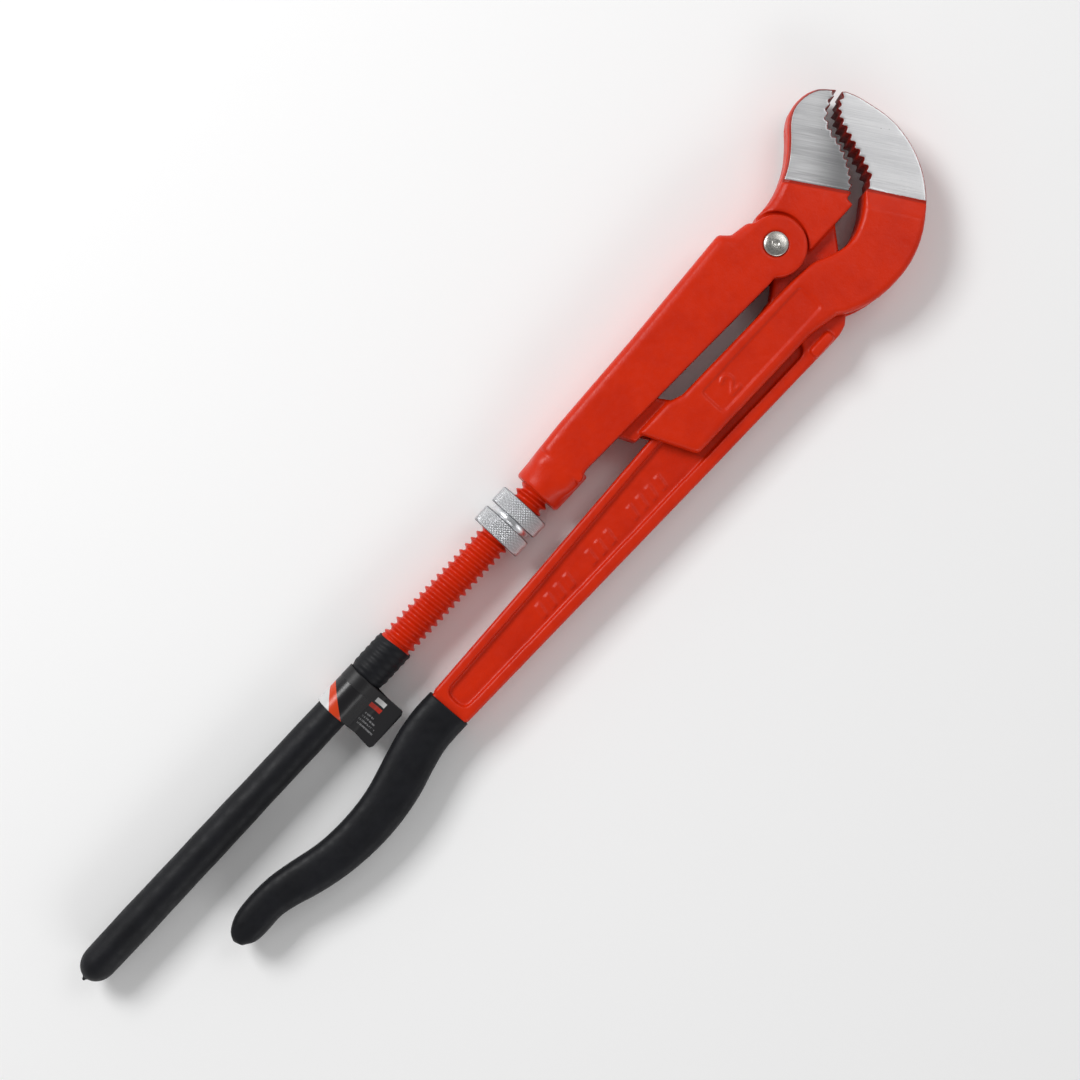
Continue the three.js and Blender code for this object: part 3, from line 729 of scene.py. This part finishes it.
def tag_path():
    """(y, z) along the paper's middle, from one end of the flag round the grip to the other."""
    foot = reach("hang_tag", 1)[0]
    reach_down = AXIS_Y - TAG_STUCK
    open_angle = math.acos(TAG_R / reach_down)
    flag = [(y, 0.16) for y in np.linspace(foot + 0.05, TAG_STUCK - 0.6, 12)]
    turns = np.linspace(open_angle, 2 * math.pi - open_angle, 72)
    loop = [(AXIS_Y - TAG_R * math.cos(t), TAG_R * math.sin(t)) for t in turns]
    first = np.array(loop[0])
    slope = [tuple(np.array((TAG_STUCK, 0.3)) * (1 - k) + first * k) for k in np.linspace(0.06, 0.94, 8)]
    half = flag + slope + loop[: len(loop) // 2]
    return np.array(half + [(y, -z) for y, z in reversed(half)])


def make_tag():
    """A strip of card wrapped round the grip, its two ends stuck together as a flag."""
    path = tag_path()
    x0, x1 = reach("hang_tag")
    foot, corner, columns = path[:, 0].min(), 2.0, 40
    drop = np.clip((TAG_STUCK - path[:, 0]) / (TAG_STUCK - foot), 0, 1)
    rise = np.clip(path[:, 0] - foot, 0, corner)
    cut = corner - np.sqrt(np.maximum(corner**2 - (corner - rise) ** 2, 0))
    left = x0 + 0.9 * (1 - drop) + cut + 0.05
    right = x1 - 0.3 * (1 - drop) - cut - 0.05
    u = np.linspace(0, 1, columns)
    x = left[:, None] * (1 - u) + right[:, None] * u
    points = np.stack([x, np.repeat(path[:, :1], columns, 1), np.repeat(path[:, 1:], columns, 1)], -1)
    n = len(path)
    faces = [(i * columns + k, i * columns + k + 1, (i + 1) * columns + k + 1, (i + 1) * columns + k)
             for i in range(n - 1) for k in range(columns - 1)]
    mesh = mesh_from("tag", points.reshape(-1, 3), faces)
    mesh = with_modifier(mesh, "SOLIDIFY", thickness=0.22 * MM, offset=0.0)
    outward(mesh)
    add_piece("hang_tag_card", mesh, "hook", "tag_paper", tag_print("tag_print"), "hang_tag")


def tag_print(name):
    """Black card with an orange stripe across a white corner, and plain bars on the flag."""
    g = Graph(name)
    x, y, z = g.axes(g.local(RIVET))
    x, y = g.math("MULTIPLY", x, 1000), g.math("MULTIPLY", y, 1000)
    black, white, orange = (0.011, 0.0105, 0.012, 1), (0.62, 0.62, 0.62, 1), (0.62, 0.05, 0.01, 1)
    # two edges that lean across the loop: white, then the stripe, then black
    first = g.math("SUBTRACT", g.math("ADD", x, 305.5), g.math("MULTIPLY", g.math("SUBTRACT", y, 4.5), 1.1))
    second = g.math("SUBTRACT", g.math("ADD", x, 299), g.math("MULTIPLY", g.math("SUBTRACT", y, 5), 0.8))
    corner, band = g.ramp(first, -0.1, 0.1, 1.0, 0.0), g.ramp(second, -0.1, 0.1, 1.0, 0.0)
    wrapped = g.ramp(y, -8.2, -8.0)
    colour = g.blend(g.math("MULTIPLY", band, wrapped), black, orange)
    colour = g.blend(g.math("MULTIPLY", corner, wrapped), colour, white)

    def bar(x0, x1, y0, y1, tone, at):
        across = g.math("MULTIPLY", g.ramp(x, x0, x0 + 0.15), g.ramp(x, x1 - 0.15, x1, 1.0, 0.0))
        along = g.math("MULTIPLY", g.ramp(y, y0, y0 + 0.15), g.ramp(y, y1 - 0.15, y1, 1.0, 0.0))
        return g.blend(g.math("MULTIPLY", across, along), at, tone)

    gaps = g.ramp(g.noise(1.0, 0, 0.5, g.local(RIVET, 0.0, (600, 1900, 0))), 0.42, 0.5)
    for row, (start, end) in enumerate(((-18.6, -9.0), (-18.2, -8.2), (-16.4, -8.4), (-14.0, -8.8))):
        x0 = -301.6 + 2.0 * row
        printed = bar(x0, x0 + 1.0, start, end, (0.17, 0.17, 0.175, 1), colour)
        colour = g.blend(gaps, colour, printed)
    colour = bar(-291.6, -289.2, -14.4, -7.6, (0.42, 0.02, 0.008, 1), colour)
    colour = bar(-288.2, -285.6, -14.2, -8.4, (0.5, 0.5, 0.5, 1), colour)
    front = g.math("MULTIPLY", wrapped, g.ramp(z, 0.0, 0.0002))
    taped = g.math("MULTIPLY", g.ramp(x, -289.7, -289.3, 1.0, 0.0), front)
    creases = g.noise(1.0, 2, 0.5, g.local(RIVET, 0.0, (320, 60, 60)))
    g.set(Base_Color=colour, Roughness=g.mix(taped, 0.45, 0.27), Specular_IOR_Level=0.35,
          Normal=g.bump(creases, 0.00012, g.bump(taped, 0.00006)))
    return g.material


# ---- stage, lights and camera --------------------------------------------------------------------


def make_stage():
    g = Graph("pale_floor")
    g.set(Base_Color=(0.96, 0.96, 0.96, 1), Roughness=0.9)
    floor = mesh_from("floor", [(-4000, -4000, 0), (4000, -4000, 0), (4000, 4000, 0), (-4000, 4000, 0)],
                      [(0, 1, 2, 3)])
    floor.transform(Matrix.Translation((0, 0, -RIVET.z - 0.00005)))
    floor.materials.append(g.material)
    stage = bpy.data.objects.new("floor", floor)
    bpy.context.scene.collection.objects.link(stage)


def softbox(name, spot, target, size, power):
    """A rectangular lamp of a size in metres and a power in watts, aimed at a target."""
    light = bpy.data.lights.new(name, "AREA")
    light.shape, light.size, light.size_y = "RECTANGLE", *size
    light.energy = power
    lamp = bpy.data.objects.new(name, light)
    lamp.location = spot
    lamp.rotation_euler = (Vector(target) - Vector(spot)).to_track_quat("-Z", "Y").to_euler()
    bpy.context.scene.collection.objects.link(lamp)


# directions across the picture, in the tool's plane
VIEW_RIGHT = Vector((0.6816, -0.7317, 0))
VIEW_UP = Vector((0.7317, 0.6816, 0))
VIEW_CENTRE = (-178.6, -13.8, 6.4)
VIEW_WIDTH, VIEW_DISTANCE = 0.513, 0.9  # metres
VIEW_LEAN = math.radians(-1.35)  # the camera leans a little toward the grips
WALL_LIGHT, CEILING_LIGHT = 0.62, 0.2


def make_camera():
    data = bpy.data.cameras.new("camera")
    data.sensor_width = 36
    data.lens = 36 * VIEW_DISTANCE / VIEW_WIDTH
    camera = bpy.data.objects.new("camera", data)
    upright = Matrix((VIEW_RIGHT, VIEW_UP, Vector((0, 0, 1)))).transposed()
    turn = Matrix.Rotation(VIEW_LEAN, 3, "Y") @ upright
    spot = place(*VIEW_CENTRE) + turn @ Vector((0, 0, VIEW_DISTANCE))
    camera.matrix_world = Matrix.Translation(spot) @ turn.to_4x4()
    bpy.context.scene.collection.objects.link(camera)
    bpy.context.scene.camera = camera


def make_world():
    """A soft studio: dimmer overhead than toward the walls."""
    world = bpy.data.worlds.new("studio")
    bpy.context.scene.world = world
    world.use_nodes = True
    tree = world.node_tree
    direction = tree.nodes.new("ShaderNodeTexCoord").outputs["Generated"]
    height = tree.nodes.new("ShaderNodeSeparateXYZ")
    tree.links.new(direction, height.inputs[0])
    level = tree.nodes.new("ShaderNodeMapRange")
    tree.links.new(height.outputs["Z"], level.inputs[0])
    for socket, value in ((1, 0.2), (2, 0.95), (3, WALL_LIGHT), (4, CEILING_LIGHT)):
        level.inputs[socket].default_value = value
    tree.links.new(level.outputs[0], tree.nodes["Background"].inputs["Strength"])
    tree.nodes["Background"].inputs["Color"].default_value = (1, 1, 1, 1)


def make_lights():
    middle = place(*VIEW_CENTRE)
    jaws = place(60, -10)
    # a broad key from the left of the picture, a panel beyond the jaws and a low fill
    softbox("key", middle - VIEW_RIGHT * 1.0 + VIEW_UP * 0.8 + Vector((0, 0, 1.2)), middle, (0.7, 0.6), 19)
    softbox("panel", jaws + VIEW_RIGHT * 0.55 + VIEW_UP * 0.55 + Vector((0, 0, 1.3)), jaws, (0.8, 0.6), 3.2)
    softbox("fill", middle + VIEW_RIGHT * 0.6 - VIEW_UP * 1.3 + Vector((0, 0, 0.8)), middle, (1.2, 0.4), 4.5)


BLACK = dipped_plastic("black_dip")
make_camera()
make_forgings()
make_spindle()
make_nut()
make_rivet()
make_spindle_grip()
make_lever_grip()
make_tag()
make_stage()
make_world()
make_lights()
bpy.context.scene.view_settings.view_transform = "Standard"
